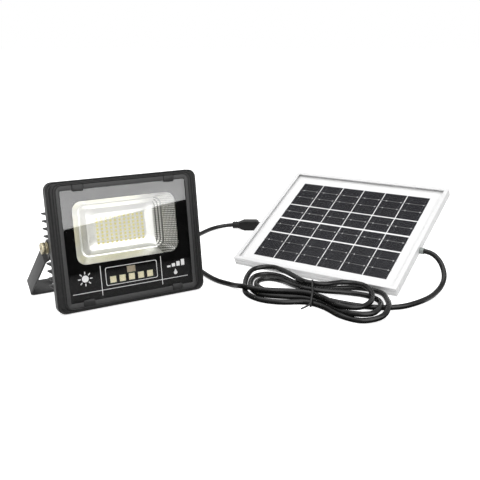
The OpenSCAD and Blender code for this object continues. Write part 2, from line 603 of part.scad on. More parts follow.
lam_in = rail_t + 0.5;
module sheet(c0, c1) translate([lam_in, lam_in, c0])
  cube([panel_w - 2 * lam_in, panel_h - 2 * lam_in, c1 - c0]);
module panel_glass() color("#dfe8ec", 0.25) at_panel() sheet(glass_c, lam_top);
module panel_backsheet() color("#f4f5f6") at_panel() sheet(sheet_c, cell_c);
module solar_cells() color("#26262b") at_panel()
  for (i = [0:cols - 1], r = rows) translate([cells_a + i * cell_pitch, r[0] * row_k, cell_c])
    cube([cell_pitch - cell_gap, r[1] * row_k, ribbon_c - cell_c]);
// interconnect ribbons across each row of cells
ribbon_b = [36, 55, 92.7, 124.5, 161.3, 177.8];
module cell_ribbons() color("#c8cacc") at_panel() for (b = ribbon_b)
  translate([cells_a - 1, b * row_k - 0.4, ribbon_c])
    cube([cols * cell_pitch - cell_gap + 2, 0.8, glass_c - ribbon_c]);

box_w = 46;
box_b = 36;
box_a = panel_w - 62;
box_m = exit_b - 13;             // middle of the box, clear of the strap behind it
box_c = -3;
module junction_box() color("#161617") at_panel() difference() {
  translate([box_a - box_w / 2, box_m - box_b / 2, box_c]) cube([box_w, box_b, sheet_c - box_c]);
  translate([box_a - box_w / 2 + 2, box_m - box_b / 2 + 2, box_c - 1])
    cube([box_w - 4, box_b - 4, sheet_c - box_c - 0.5]);
  translate([0, exit_b, exit_c]) rod_x(box_a, box_a + box_w, lead_d / 2 + fit);
  for (s = [-1, 1]) translate([box_a + s * (box_w / 2 - 4), box_m, box_c - 1]) cylinder(h = 6, r = 1.3);
}
module junction_box_lid() color("#1a1a1b") at_panel() difference() {
  translate([box_a - box_w / 2 - 1, box_m - box_b / 2 - 1, box_c - 2]) cube([box_w + 2, box_b + 2, 2]);
  for (s = [-1, 1]) translate([box_a + s * (box_w / 2 - 4), box_m, box_c - 3]) cylinder(h = 4, r = 1.6);
}
module junction_box_screws() color("#9c9ea0") at_panel()
  for (s = [-1, 1]) translate([box_a + s * (box_w / 2 - 4), box_m, box_c]) {
    translate([0, 0, -3.6]) cylinder(h = 1.6, r = 2.8);
    translate([0, 0, -2.1]) cylinder(h = 6, r = 1.25);
  }
module exit_grommet() color("#8a8f8c") at_panel() translate([0, exit_b, exit_c]) difference() {
  union() {
    rod_x(panel_w - rail_t, panel_w + e, 4.1);
    rod_x(panel_w, panel_w + 6, 4.4);
  }
  rod_x(panel_w - 4, panel_w + 8, lead_d / 2 + fit);
}
module panel_lead_stub() color("#101011") at_panel() translate([0, exit_b, exit_c])
  rod_x(box_a + box_w / 2 - 3, panel_w + stub_out, lead_d / 2);

strap_w = 30;
strap_t = 2;
module panel_bracket() color("#9a9b9d") at_panel() difference() {
  union() {
    translate([3, hinge_b - strap_w / 2, -strap_t]) cube([panel_w - 6, strap_w, strap_t]);
    translate([panel_w / 2, hinge_b, 0]) both_sides() {
      translate([ear_half - foot_t, -11, hinge_c]) cube([foot_t, 22, -hinge_c - strap_t + e]);
      translate([0, 0, hinge_c]) rod_x(ear_half - foot_t, ear_half, 11);
    }
  }
  translate([panel_w / 2, hinge_b, hinge_c]) rod_x(-50, 50, pin_d / 2 + fit);
  for (a = [7, panel_w - 7], s = [-1, 1]) translate([a, hinge_b + s * 9, -strap_t - 1]) cylinder(h = 4, r = 2.1);
}
module panel_bracket_screws() color("#b9babc") at_panel()
  for (a = [7, panel_w - 7], s = [-1, 1]) translate([a, hinge_b + s * 9, 0]) {
    translate([0, 0, -strap_t - 2.4]) cylinder(h = 2.4, r = 3.6);
    translate([0, 0, -strap_t]) cylinder(h = strap_t, r = 2);
  }

front_bezel();
glass_seal();
front_glass();
glass_print();
glass_clips();
reflector();
led_board();
led_chips();
control_board();
charge_indicators();
remote_receiver();
battery_cells();
battery_tray();
rear_housing();
bezel_screws();
breather_vent();
lamp_gland();
lamp_strain_relief();
lamp_lead_stub();
pivot_bolts();
spring_washers();
flat_washers();
lamp_bracket();
lamp_lead();
lead_plug();
plug_pins();
lead_socket();
panel_lead_tail();
lead_hank();
hank_tie();
panel_lead_loop();
stand_foot();
stand_bolt();
stand_washers();
stand_wing_nut();
rail_near();
rail_far();
rail_left();
rail_right();
corner_keys();
panel_glass();
cell_ribbons();
solar_cells();
panel_backsheet();
junction_box();
junction_box_lid();
junction_box_screws();
exit_grommet();
panel_lead_stub();
panel_bracket();
panel_bracket_screws();
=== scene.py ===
# Solar flood light: a lamp head in its bracket, a panel on a small tilting stand,
# and the lead between them. Sizes are millimetres, turned into metres by head(), panel(),
# layout() and settle(), unless a line says otherwise.
import json
from math import cos, radians, sin

import bpy
from mathutils import Euler, Matrix, Vector

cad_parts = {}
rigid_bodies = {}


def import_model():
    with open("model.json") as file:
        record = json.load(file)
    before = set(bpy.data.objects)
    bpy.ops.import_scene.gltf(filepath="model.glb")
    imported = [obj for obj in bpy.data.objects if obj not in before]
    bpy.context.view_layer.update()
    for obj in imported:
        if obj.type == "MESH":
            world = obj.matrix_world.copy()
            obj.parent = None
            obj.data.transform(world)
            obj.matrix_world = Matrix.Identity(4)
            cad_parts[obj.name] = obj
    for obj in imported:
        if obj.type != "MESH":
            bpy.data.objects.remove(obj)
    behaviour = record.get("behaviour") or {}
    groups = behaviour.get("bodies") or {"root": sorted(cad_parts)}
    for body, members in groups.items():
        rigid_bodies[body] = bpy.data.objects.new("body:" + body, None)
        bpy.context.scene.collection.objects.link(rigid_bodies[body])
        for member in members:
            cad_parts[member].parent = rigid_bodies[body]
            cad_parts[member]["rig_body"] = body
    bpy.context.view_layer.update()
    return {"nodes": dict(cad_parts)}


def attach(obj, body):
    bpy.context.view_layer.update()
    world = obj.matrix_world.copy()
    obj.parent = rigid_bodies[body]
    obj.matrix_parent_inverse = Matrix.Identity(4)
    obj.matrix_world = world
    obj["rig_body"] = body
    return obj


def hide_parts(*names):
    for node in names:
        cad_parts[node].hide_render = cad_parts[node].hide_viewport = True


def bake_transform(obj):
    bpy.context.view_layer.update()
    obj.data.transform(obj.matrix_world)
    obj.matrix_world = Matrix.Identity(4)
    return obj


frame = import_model()
nodes = frame["nodes"]

MM = 0.001
SHIFT = Vector((-0.234, -0.123, 0.0))          # from the layout's origin to the frame's
PIVOT = (-170.0, -101.4, 77.598)               # middle of the lamp's hinge, in the layout
LAMP_TURN = 30.7
LAMP_LEAN = -8.0
PANEL_AT = (-20.9, 29.1, 0.0)                  # the panel's near left corner, in the layout
PANEL_TURN = -34.1
PANEL_TILT = 28.1
HEAD_TURNS = (radians(LAMP_LEAN), 0.0, radians(LAMP_TURN))
PANEL_TURNS = (radians(PANEL_TILT), 0.0, radians(PANEL_TURN))
HEAD = Matrix.Translation((SHIFT + Vector(PIVOT)) * MM)
HEAD = HEAD @ Euler(HEAD_TURNS).to_matrix().to_4x4()
PANEL = Matrix.Translation((SHIFT + Vector(PANEL_AT)) * MM)
PANEL = PANEL @ Euler(PANEL_TURNS).to_matrix().to_4x4()
CAMERA_AT = (-0.014834, -0.977123, 0.31575)    # metres
LEAD_R = 0.0035                                # metres
GLAND_X, GLAND_Z = 20.0, -20.0                 # where the lamp's lead leaves, in its own axes
EXIT_B, EXIT_C = 88.0, 4.4                     # where the panel's lead leaves, in its own axes


def head(x, y, z):
    """A place in the lamp's own axes."""
    return HEAD @ (Vector((x, y, z)) * MM)


def panel(a, b, c):
    """A place in the panel's own axes."""
    return PANEL @ (Vector((a, b, c)) * MM)


def layout(x, y, z):
    """A place on the floor that both parts stand on."""
    return (Vector((x, y, z)) + SHIFT) * MM


def behind_lamp(x, b, z):
    """A place x along the lamp and b behind it, z above the floor."""
    turn = radians(LAMP_TURN)
    return layout(PIVOT[0] + x * cos(turn) - b * sin(turn),
                  PIVOT[1] + x * sin(turn) + b * cos(turn), z)


# --- camera -------------------------------------------------------------------
bpy.ops.object.camera_add(location=CAMERA_AT,
                          rotation=(radians(90.0 - 15.445), 0.0, 0.0))
camera = bpy.context.active_object
camera.name = "camera"
camera.data.lens = 52.0
camera.data.sensor_width = 36.0
bpy.context.scene.camera = camera


# --- finishes -----------------------------------------------------------------
def nodes_of(name):
    """A new material with its shader and the object's own coordinates."""
    material = bpy.data.materials.new(name + "_finish")
    material.use_nodes = True
    tree = material.node_tree
    shader = tree.nodes["Principled BSDF"]
    place_in = tree.nodes.new("ShaderNodeTexCoord")
    return material, tree, shader, place_in


def finish_of(name, dark, light, rough, metal=0.0, grain=260.0, bump=0.0, gleam=0.5):
    """A finish that drifts between two shades, with a fine grain in its relief."""
    material, tree, shader, place_in = nodes_of(name)
    noise = tree.nodes.new("ShaderNodeTexNoise")
    noise.inputs["Scale"].default_value = grain
    noise.inputs["Detail"].default_value = 4.0
    shade = tree.nodes.new("ShaderNodeValToRGB")
    shade.color_ramp.elements[0].position = 0.3
    shade.color_ramp.elements[0].color = (*dark, 1.0)
    shade.color_ramp.elements[1].position = 0.7
    shade.color_ramp.elements[1].color = (*light, 1.0)
    sheen = tree.nodes.new("ShaderNodeMapRange")
    sheen.inputs["To Min"].default_value = rough * 0.88
    sheen.inputs["To Max"].default_value = min(rough * 1.14, 1.0)
    tree.links.new(place_in.outputs["Object"], noise.inputs["Vector"])
    tree.links.new(noise.outputs["Fac"], shade.inputs["Fac"])
    tree.links.new(shade.outputs["Color"], shader.inputs["Base Color"])
    tree.links.new(noise.outputs["Fac"], sheen.inputs["Value"])
    tree.links.new(sheen.outputs["Result"], shader.inputs["Roughness"])
    shader.inputs["Metallic"].default_value = metal
    shader.inputs["Specular IOR Level"].default_value = gleam
    if bump > 0.0:
        fine = tree.nodes.new("ShaderNodeTexNoise")
        fine.inputs["Scale"].default_value = grain * 9.0
        relief = tree.nodes.new("ShaderNodeBump")
        relief.inputs["Strength"].default_value = bump
        relief.inputs["Distance"].default_value = 0.0002
        tree.links.new(place_in.outputs["Object"], fine.inputs["Vector"])
        tree.links.new(fine.outputs["Fac"], relief.inputs["Height"])
        tree.links.new(relief.outputs["Normal"], shader.inputs["Normal"])
    return material


def grey(value):
    return (value, value, value)


black_paint = finish_of("black_paint", grey(0.011), grey(0.017), 0.36, 0.0, 300.0, 0.2, 0.24)
clip_metal = finish_of("clip_metal", grey(0.016), grey(0.024), 0.4, 0.1, 300.0, 0.1, 0.3)
seal_rubber = finish_of("seal_rubber", grey(0.02), grey(0.03), 0.6, 0.0, 400.0, 0.2)
black_print = finish_of("black_print", grey(0.003), grey(0.005), 0.5, 0.0, 200.0, 0.0, 0.0)
print_white = finish_of("print_white", grey(0.72), grey(0.8), 0.5, 0.0, 300.0)
bright_reflector = finish_of("bright_reflector", (0.82, 0.82, 0.78), (0.92, 0.92, 0.88), 0.33, 1.0, 90.0)
white_board = finish_of("white_board", (0.78, 0.78, 0.74), (0.88, 0.88, 0.84), 0.4, 0.0, 200.0)
phosphor = finish_of("phosphor", (0.84, 0.76, 0.26), (0.92, 0.86, 0.42), 0.45, 0.0, 500.0)
green_board = finish_of("green_board", (0.01, 0.06, 0.025), (0.02, 0.1, 0.04), 0.4, 0.0, 200.0)
cream_lens = finish_of("cream_lens", (0.72, 0.66, 0.42), (0.85, 0.8, 0.56), 0.35, 0.0, 300.0)
receiver_resin = finish_of("receiver_resin", (0.3, 0.25, 0.17), (0.42, 0.36, 0.25), 0.3, 0.0, 300.0)
cell_sleeve = finish_of("cell_sleeve", (0.03, 0.12, 0.32), (0.05, 0.17, 0.4), 0.35, 0.0, 60.0)
black_nylon = finish_of("black_nylon", grey(0.01), grey(0.016), 0.45, 0.0, 400.0, 0.15, 0.25)
zinc_screw = finish_of("zinc_screw", grey(0.42), grey(0.55), 0.3, 1.0, 500.0)
soft_rubber = finish_of("soft_rubber", grey(0.008), grey(0.014), 0.5, 0.0, 400.0, 0.15)
lead_jacket = finish_of("lead_jacket", grey(0.004), grey(0.008), 0.27, 0.0, 160.0, 0.06, 0.36)
plug_body = finish_of("plug_body", grey(0.006), grey(0.01), 0.36, 0.0, 260.0, 0.12, 0.26)
brass_pin = finish_of("brass_pin", (0.62, 0.46, 0.2), (0.78, 0.6, 0.3), 0.25, 1.0, 400.0)
passivated_steel = finish_of("passivated_steel", (0.42, 0.38, 0.27), (0.6, 0.54, 0.38), 0.34, 1.0, 180.0)
bracket_paint = finish_of("bracket_paint", grey(0.03), grey(0.045), 0.4, 0.1, 240.0, 0.2, 0.4)
stand_steel = finish_of("stand_steel", grey(0.3), grey(0.42), 0.42, 0.9, 120.0, 0.12)
stand_fastener = finish_of("stand_fastener", grey(0.45), grey(0.58), 0.3, 1.0, 300.0)
anodised_frame = finish_of("anodised_frame", grey(0.72), grey(0.78), 0.4, 0.15, 500.0, 0.05)
cast_corner = finish_of("cast_corner", grey(0.4), grey(0.5), 0.45, 0.8, 240.0)
tinned_ribbon = finish_of("tinned_ribbon", grey(0.1), grey(0.16), 0.45, 0.2, 300.0)
white_sheet = finish_of("white_sheet", grey(0.8), grey(0.84), 0.55, 0.0, 80.0)
grey_grommet = finish_of("grey_grommet", (0.2, 0.22, 0.21), (0.26, 0.28, 0.27), 0.5, 0.0, 300.0, 0.1)


def clear_pane(name, alpha, base, metal, rough):
    """Clear sheet: a thin share of it shows, and the rest lets the light by."""
    material, tree, shader, place_in = nodes_of(name)
    noise = tree.nodes.new("ShaderNodeTexNoise")
    noise.inputs["Scale"].default_value = 30.0
    sheen = tree.nodes.new("ShaderNodeMapRange")
    sheen.inputs["To Min"].default_value = rough
    sheen.inputs["To Max"].default_value = rough * 1.4
    tree.links.new(place_in.outputs["Object"], noise.inputs["Vector"])
    tree.links.new(noise.outputs["Fac"], sheen.inputs["Value"])
    tree.links.new(sheen.outputs["Result"], shader.inputs["Roughness"])
    shader.inputs["Base Color"].default_value = (*base, 1.0)
    shader.inputs["Metallic"].default_value = metal
    shader.inputs["Alpha"].default_value = alpha
    return material


lamp_glass = clear_pane("lamp_glass", 0.1, grey(0.95), 1.0, 0.02)
panel_pane = clear_pane("panel_pane", 0.006, grey(0.9), 1.0, 0.22)


def step_of(tree, operation, value, a, b=None, c=None):
    """One sum on a number: b stands in for a where it is given."""
    made = tree.nodes.new("ShaderNodeMath")
    made.operation = operation
    tree.links.new(value, made.inputs[0])
    made.inputs[1].default_value = a
    if b is not None:
        tree.links.new(b, made.inputs[1])
    if c is not None:
        made.inputs[2].default_value = c
    return made.outputs[0]


def in_axes_of(tree, place_in, matrix, turns):
    """X, Y and Z in a moving part's own axes, in metres."""
    turn = tree.nodes.new("ShaderNodeMapping")
    turn.vector_type = "TEXTURE"
    turn.inputs["Location"].default_value = matrix.to_translation()
    turn.inputs["Rotation"].default_value = turns
    split = tree.nodes.new("ShaderNodeSeparateXYZ")
    tree.links.new(place_in.outputs["Object"], turn.inputs["Vector"])
    tree.links.new(turn.outputs["Vector"], split.inputs["Vector"])
    return split


CELL_FIRST = 24.2                              # left edge of the first column of cells
CELL_PITCH = 35.6
CELL_BARS = (7.3, 30.3)                        # the two bars, from a column's left edge


def cell_finish():
    """Dark cells with two faint bars down each column, laid out in the panel's own axes."""
    material, tree, shader, place_in = nodes_of("silicon")
    split = in_axes_of(tree, place_in, PANEL, PANEL_TURNS)
    column = step_of(tree, "SUBTRACT", split.outputs["X"], CELL_FIRST * MM)
    column = step_of(tree, "MODULO", column, CELL_PITCH * MM)
    left, right = (step_of(tree, "COMPARE", column, at * MM, c=0.6 * MM) for at in CELL_BARS)
    bars = step_of(tree, "ADD", left, 0.0, right)
    noise = tree.nodes.new("ShaderNodeTexNoise")
    noise.inputs["Scale"].default_value = 26.0
    shade = tree.nodes.new("ShaderNodeValToRGB")
    shade.color_ramp.elements[0].color = (0.006, 0.006, 0.008, 1.0)
    shade.color_ramp.elements[1].color = (0.013, 0.013, 0.017, 1.0)
    tree.links.new(place_in.outputs["Object"], noise.inputs["Vector"])
    tree.links.new(noise.outputs["Fac"], shade.inputs["Fac"])
    mix = tree.nodes.new("ShaderNodeMix")
    mix.data_type = "RGBA"
    mix.inputs["B"].default_value = (0.026, 0.026, 0.03, 1.0)
    tree.links.new(bars, mix.inputs["Factor"])
    tree.links.new(shade.outputs["Color"], mix.inputs["A"])
    tree.links.new(mix.outputs["Result"], shader.inputs["Base Color"])
    shader.inputs["Roughness"].default_value = 0.42
    shader.inputs["Specular IOR Level"].default_value = 0.05
    return material


silicon = cell_finish()


DIMPLE_SHADE_FROM = 46.3                            # from here to the right the wall carries painted dimple shade
ROW_HALF_PITCH, ROW_HALF_DARK = 1.25, 0.5
COLUMN_HALF_PITCH, COLUMN_HALF_DARK = 0.95, 0.4


def dimple_shade_on_cup():
    """The reflector's right wall carries a fine grid of dark lines, painted shade for its dimples, and
    the rest is smooth.
    """
    tree = bright_reflector.node_tree
    shader = tree.nodes["Principled BSDF"]
    place_in = tree.nodes["Texture Coordinate"]
    split = in_axes_of(tree, place_in, HEAD, HEAD_TURNS)
    # painted shade: a grid of dark lines on the flat right wall stands for the dimples' relief
    right = step_of(tree, "GREATER_THAN", split.outputs["X"], DIMPLE_SHADE_FROM * MM)
    row = step_of(tree, "PINGPONG", split.outputs["Z"], ROW_HALF_PITCH * MM)
    row = step_of(tree, "LESS_THAN", row, ROW_HALF_DARK * MM)
    column = step_of(tree, "PINGPONG", split.outputs["Y"], COLUMN_HALF_PITCH * MM)
    column = step_of(tree, "LESS_THAN", column, COLUMN_HALF_DARK * MM)
    painted_dimple_shade = step_of(tree, "MAXIMUM", row, 0.0, column)
    painted_dimple_shade = step_of(tree, "MULTIPLY", painted_dimple_shade, 1.0, right)
    before = shader.inputs["Base Color"].links[0].from_socket
    # the grid's lines darken the metal's colour, as painted shade for the dimples
    mix = tree.nodes.new("ShaderNodeMix")
    mix.data_type = "RGBA"
    mix.inputs["B"].default_value = (0.12, 0.12, 0.11, 1.0)
    tree.links.new(painted_dimple_shade, mix.inputs["Factor"])
    tree.links.new(before, mix.inputs["A"])
    tree.links.new(mix.outputs["Result"], shader.inputs["Base Color"])


dimple_shade_on_cup()


# --- making pieces --------------------------------------------------------------
def only(piece):
    """Selects this piece alone."""
    bpy.ops.object.select_all(action="DESELECT")
    piece.select_set(True)
    bpy.context.view_layer.objects.active = piece


def settle(piece, where):
    """Puts a piece made in millimetres into the row frame, with its place in its points."""
    only(piece)
    piece.matrix_world = where @ Matrix.Diagonal((MM, MM, MM, 1.0)) @ piece.matrix_world
    bpy.ops.object.transform_apply(location=True, rotation=True, scale=True)
    return piece


def wear(piece, name, material, body=None, angle=35.0):
    """Names a piece, gives it its finish and smooth faces, and hangs it on its body."""
    only(piece)
    piece.name = name
    piece.data.materials.clear()
    piece.data.materials.append(material)
    bpy.ops.object.shade_smooth_by_angle(angle=radians(angle))
    if body is not None:
        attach(piece, body)
    return piece


def dress(material, *names):
    """A finish on CAD nodes that are shown as they are."""
    for name in names:
        nodes[name].data.materials.clear()
        nodes[name].data.materials.append(material)


def softened(node, width, material, segments=2, edge=32.0):
    """A CAD node's copy, with its sharp edges rounded off."""
    source = nodes[node]
    only(source)
    bpy.ops.object.duplicate()
    piece = bpy.context.active_object
    for key in list(piece.keys()):
        del piece[key]
    piece.parent = None
    bpy.ops.object.mode_set(mode="EDIT")
    bpy.ops.mesh.select_all(action="SELECT")
    bpy.ops.mesh.remove_doubles(threshold=0.000004)
    bpy.ops.mesh.dissolve_limited(angle_limit=radians(1.0))
    bpy.ops.mesh.normals_make_consistent(inside=False)
    bpy.ops.object.mode_set(mode="OBJECT")
    bevel = piece.modifiers.new("edges", "BEVEL")
    bevel.width = width * MM
    bevel.segments = segments
    bevel.limit_method = "ANGLE"
    bevel.angle_limit = radians(edge)
    bpy.ops.object.modifier_apply(modifier="edges")
    wear(piece, node + "_piece", material, source["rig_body"])
    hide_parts(node)
    return piece


def box_of(x0, x1, y0, y1, z0, z1, turn=0.0):
    """A block between two corners, turned about its own middle in the plane of X and Z."""
    middle = ((x0 + x1) / 2.0, (y0 + y1) / 2.0, (z0 + z1) / 2.0)
    bpy.ops.mesh.primitive_cube_add(size=1.0, location=middle, rotation=(0.0, radians(turn), 0.0))
    piece = bpy.context.active_object
    piece.scale = (x1 - x0, y1 - y0, z1 - z0)
    return piece


def joined(pieces):
    """Several pieces made into one."""
    bpy.ops.object.select_all(action="DESELECT")
    for piece in pieces:
        piece.select_set(True)
    bpy.context.view_layer.objects.active = pieces[0]
    bpy.ops.object.join()
    return bpy.context.active_object


def swept_ring(steps, radius, corner=6):
    """A closed ring made from a rectangle, run through (half width, half height, depth) steps."""
    w, h, y = steps[0]
    bpy.ops.mesh.primitive_plane_add(size=2.0, location=(0.0, y, 0.0),
                                     rotation=(radians(90.0), 0.0, 0.0))
    piece = bpy.context.active_object
    piece.scale = (w, h, 1.0)
    bpy.ops.object.transform_apply(location=True, rotation=True, scale=True)
    bpy.ops.object.mode_set(mode="EDIT")
    bpy.ops.mesh.select_all(action="SELECT")
    if radius > 0.0:
        bpy.ops.mesh.bevel(offset=radius, segments=corner, affect="VERTICES", offset_type="OFFSET")
        bpy.ops.mesh.select_all(action="SELECT")
    bpy.ops.mesh.delete(type="ONLY_FACE")
    bpy.ops.mesh.select_all(action="SELECT")
    for next_w, next_h, next_y in steps[1:]:
        bpy.ops.mesh.extrude_edges_move(TRANSFORM_OT_translate={"value": (0.0, next_y - y, 0.0)})
        bpy.ops.transform.resize(value=(next_w / w, 1.0, next_h / h))
        w, h, y = next_w, next_h, next_y
    bpy.ops.mesh.select_all(action="SELECT")
    bpy.ops.mesh.remove_doubles(threshold=0.01)
    bpy.ops.mesh.select_all(action="SELECT")
    bpy.ops.mesh.normals_make_consistent(inside=False)
    bpy.ops.object.mode_set(mode="OBJECT")
    return piece


# --- leads ----------------------------------------------------------------------
def eased(points, step=0.003, passes=2):
    """A smooth line close to these points, in steps of about 3 mm."""
    line = []
    for i in range(len(points) - 1):
        p1, p2 = points[i], points[i + 1]
        p0 = points[i - 1] if i > 0 else p1 * 2.0 - p2
        p3 = points[i + 2] if i + 2 < len(points) else p2 * 2.0 - p1
        parts = max(2, int((p2 - p1).length / step))
        for k in range(parts):
            t = k / parts
            square = (2.0 * p0 - 5.0 * p1 + 4.0 * p2 - p3) * t * t
            cube = (3.0 * p1 - p0 - 3.0 * p2 + p3) * t * t * t
            line.append(0.5 * (2.0 * p1 + (p2 - p0) * t + square + cube))
    line.append(points[-1].copy())
    for _ in range(passes):
        inner = [(line[i - 1] + line[i] * 2.0 + line[i + 1]) / 4.0 for i in range(1, len(line) - 1)]
        line = [line[0]] + inner + [line[-1]]
    return line


def tube(name, line, radius, material, sides=5):
    """A round tube along a line, as a mesh."""
    bpy.ops.curve.primitive_bezier_curve_add(location=(0.0, 0.0, 0.0))
    piece = bpy.context.active_object
    piece.data.splines.clear()
    spline = piece.data.splines.new("POLY")
    spline.points.add(len(line) - 1)
    for point, at in zip(spline.points, line):
        point.co = (at[0], at[1], at[2], 1.0)
    piece.data.dimensions = "3D"
    piece.data.bevel_depth = radius
    piece.data.bevel_resolution = sides
    piece.data.use_fill_caps = True
    only(piece)
    bpy.ops.object.convert(target="MESH")
    piece = bpy.context.active_object
    return wear(piece, name, material, angle=60.0)


lamp_points = [head(GLAND_X, y, GLAND_Z) for y in (6.0, 16.0, 26.0, 36.0, 46.0, 56.0, 64.0, 68.6)]
for x, b, z in [(20.5, 79.5, 45), (21.5, 88, 40.4), (23.5, 95, 33.7), (27, 102, 25),
                (32, 109, 16.5), (39, 116, 9.8), (48, 123.5, 5.4), (59, 131, 3.7), (74, 139, 3.5),
                (92, 148, 3.5), (120, 160, 3.5), (150, 172, 3.5), (180, 186, 3.5), (205, 198, 3.5)]:
    lamp_points.append(behind_lamp(x, b, z))
for x, y, z in [(-83, 196.5, 3.5), (-74.5, 214, 3.5), (-66, 228, 3.7), (-54.5, 238, 4.6),
                (-41, 241, 6.4), (-27, 240, 8)]:
    lamp_points.append(layout(x, y, z))
lamp_line = eased(lamp_points)
lamp_lead = tube("lamp_lead_run", lamp_line, LEAD_R, lead_jacket)
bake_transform(lamp_lead)
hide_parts("lamp_lead", "lamp_lead_stub")

# The hank's three turns, from the tail to the panel's end of the lead. Each goes down its
# left end, along to the waist, round the right end and back over the waist. A separate
# program worked these points out, and 14 were then set by hand. They aren't from a loop.
FIRST_TURN = [
    (-24, -78, 3.5), (-10, -102, 10), (15, -117, 10.5), (45, -120, 10), (74, -128, 10),
    (93, -150, 10.5), (107, -177, 11.5), (130, -183, 10.5), (148, -164, 10.5), (156, -132, 11),
    (150, -104, 12.5), (124, -95, 13.5), (98, -110, 15.5), (72, -102, 16.5), (60, -75, 15),
    (48, -47, 13.5), (31, -22, 12), (6, -25, 10), (-5, -53, 7), (-8, -82, 3.5)]
SECOND_TURN = [
    (-6, -112, 3.5), (12, -136, 3.5), (40, -145, 3.5), (70, -144, 3.5), (92, -164, 3.5),
    (106, -190, 3.5), (130, -208, 3.5), (157, -200, 6), (169, -174, 10.5), (173, -144, 7),
    (171, -114, 5.5), (148, -95, 5), (119, -92, 4), (91, -102, 7.5), (68, -92, 9),
    (56, -70, 6.5), (43, -41, 4), (24, -29, 3.5), (7, -38, 3.5), (1, -60, 3.5), (0, -86, 3.5)]
THIRD_TURN = [
    (10, -114, 3.5), (38, -123, 3.5), (68, -128, 3.5), (91, -146, 3.5), (106, -173, 4),
    (118, -200, 10), (142, -204, 10.5), (158, -178, 10.5), (162, -149, 7), (154, -122, 3.5),
    (127, -110, 4), (99, -114, 7.5), (73, -110, 9.5), (57, -90, 7.5), (45, -62, 4),
    (26, -49, 3.5), (11, -58, 3.5), (8, -80, 3.5), (22, -102, 3.5)]
WAY_OUT = [
    (50, -110, 3.5), (78, -122, 3.5), (103, -140, 3.5), (129, -155, 3.5), (158, -164, 3.5),
    (188, -161, 3.5)]
HANK = FIRST_TURN + SECOND_TURN + THIRD_TURN + WAY_OUT
panel_points = [panel(a, EXIT_B, EXIT_C) for a in (216.0, 228.0, 240.0, 252.0, 262.0, 268.5, 274.0)]
for x, y, z in [(254, -66.5, 41.5), (258.8, -71.3, 35.5), (261.7, -77, 28.5), (262.4, -84.5, 21),
                (260, -92, 14.8), (254.6, -101, 10), (245.4, -113, 6.3), (235, -125, 4.2),
                (222, -137.5, 3.5), (209, -148.2, 3.5), (198, -155.5, 3.5)]:
    panel_points.append(layout(x, y, z))
for point in reversed(HANK):
    panel_points.append(layout(*point))
for x, y, z in [(-42, -64, 3.5), (-55, -47, 3.5), (-64.5, -30, 3.5), (-76, -8, 3.5), (-88, 11, 3.6),
                (-101, 26, 4.2), (-115, 34.5, 5.6), (-129, 36, 7.2), (-141, 31.5, 8)]:
    panel_points.append(layout(x, y, z))
panel_line = eased(panel_points, passes=8)
for point in panel_line:
    point.z = max(point.z, LEAD_R)
panel_lead = tube("panel_lead_run", panel_line, LEAD_R, lead_jacket)
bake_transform(panel_lead)
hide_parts("panel_lead_tail", "lead_hank", "panel_lead_loop", "panel_lead_stub")

tie_points = [layout(*p) for p in [
    (82, -99, 4.5), (81.5, -103, 13.5), (81, -110, 21.3), (80, -117, 19.8), (79.5, -124, 16.6),
    (79, -131, 15.6), (78.5, -138, 15.2), (77, -145, 12.4), (75.5, -151, 8.6), (74.5, -155, 5.0),
    (74.5, -155.5, 1.6), (76, -147, 1.3), (78, -135, 1.3), (80, -120, 1.3), (81.5, -106, 1.3),
    (82, -99, 1.8)]]
tie = tube("hank_tie_piece", eased(tie_points + tie_points[:1], passes=1), 0.0013, soft_rubber, 3)
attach(tie, "root")
tie_tail = tube("hank_tie_tail", eased([layout(*p) for p in [
    (74.5, -154.5, 6), (72, -158, 4.5), (67, -161, 3), (62, -163, 1.6)]]), 0.0012, soft_rubber, 3)
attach(tie_tail, "root")
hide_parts("hank_tie")

plug = softened("lead_plug", 1.2, plug_body, 3)
socket = softened("lead_socket", 1.2, plug_body, 3)
relief = softened("lamp_strain_relief", 0.5, soft_rubber)


# --- lamp head --------------------------------------------------------------------
bezel = swept_ring([
    (98.5, 79.5, -16.5), (98.5, 79.5, -19.5), (100.0, 81.0, -19.5), (100.0, 81.0, -29.5),
    (99.6, 80.8, -29.9), (98.8, 80.5, -30.0), (98.2, 80.3, -29.7), (97.0, 79.9, -29.5),
    (95.9, 79.5, -29.9), (95.2, 79.2, -30.9), (94.6, 78.9, -31.4), (93.8, 78.6, -31.5),
    (92.8, 78.2, -31.4), (92.4, 78.0, -30.6), (91.9, 77.8, -30.6), (91.5, 77.6, -31.2),
    (91.0, 77.4, -31.35), (89.2, 76.5, -31.35), (88.6, 76.1, -31.1), (88.4, 76.0, -30.6),
    (88.4, 76.0, -25.4), (85.4, 74.0, -25.4), (85.4, 74.0, -16.5), (98.5, 79.5, -16.5)], 10.0)
settle(bezel, HEAD)
wear(bezel, "front_bezel_piece", black_paint, "head", 40.0)
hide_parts("front_bezel")

cup = swept_ring([
    (72.0, 42.5, -25.2), (69.0, 39.5, -25.2), (68.4, 39.0, -24.6), (57.6, 33.8, -8.4),
    (57.0, 33.4, -7.6), (54.8, 32.0, -7.2), (54.2, 31.6, -6.6), (46.2, 27.4, -2.4),
    (45.4, 26.8, -1.9), (43.6, 25.6, -1.7), (36.4, 20.6, 0.1), (35.2, 19.4, 0.2),
    (35.2, 19.4, 0.9), (37.0, 21.2, 0.9), (44.6, 27.0, -0.6), (47.2, 28.6, -1.4),
    (55.6, 33.0, -5.8), (58.6, 34.8, -7.4), (69.6, 40.4, -23.6), (72.0, 42.5, -24.2),
    (72.0, 42.5, -25.2)], 12.0, 8)
cup.location = (0.0, 0.0, 15.0)
settle(cup, HEAD)
wear(cup, "reflector_piece", bright_reflector, "head", 24.0)
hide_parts("reflector")

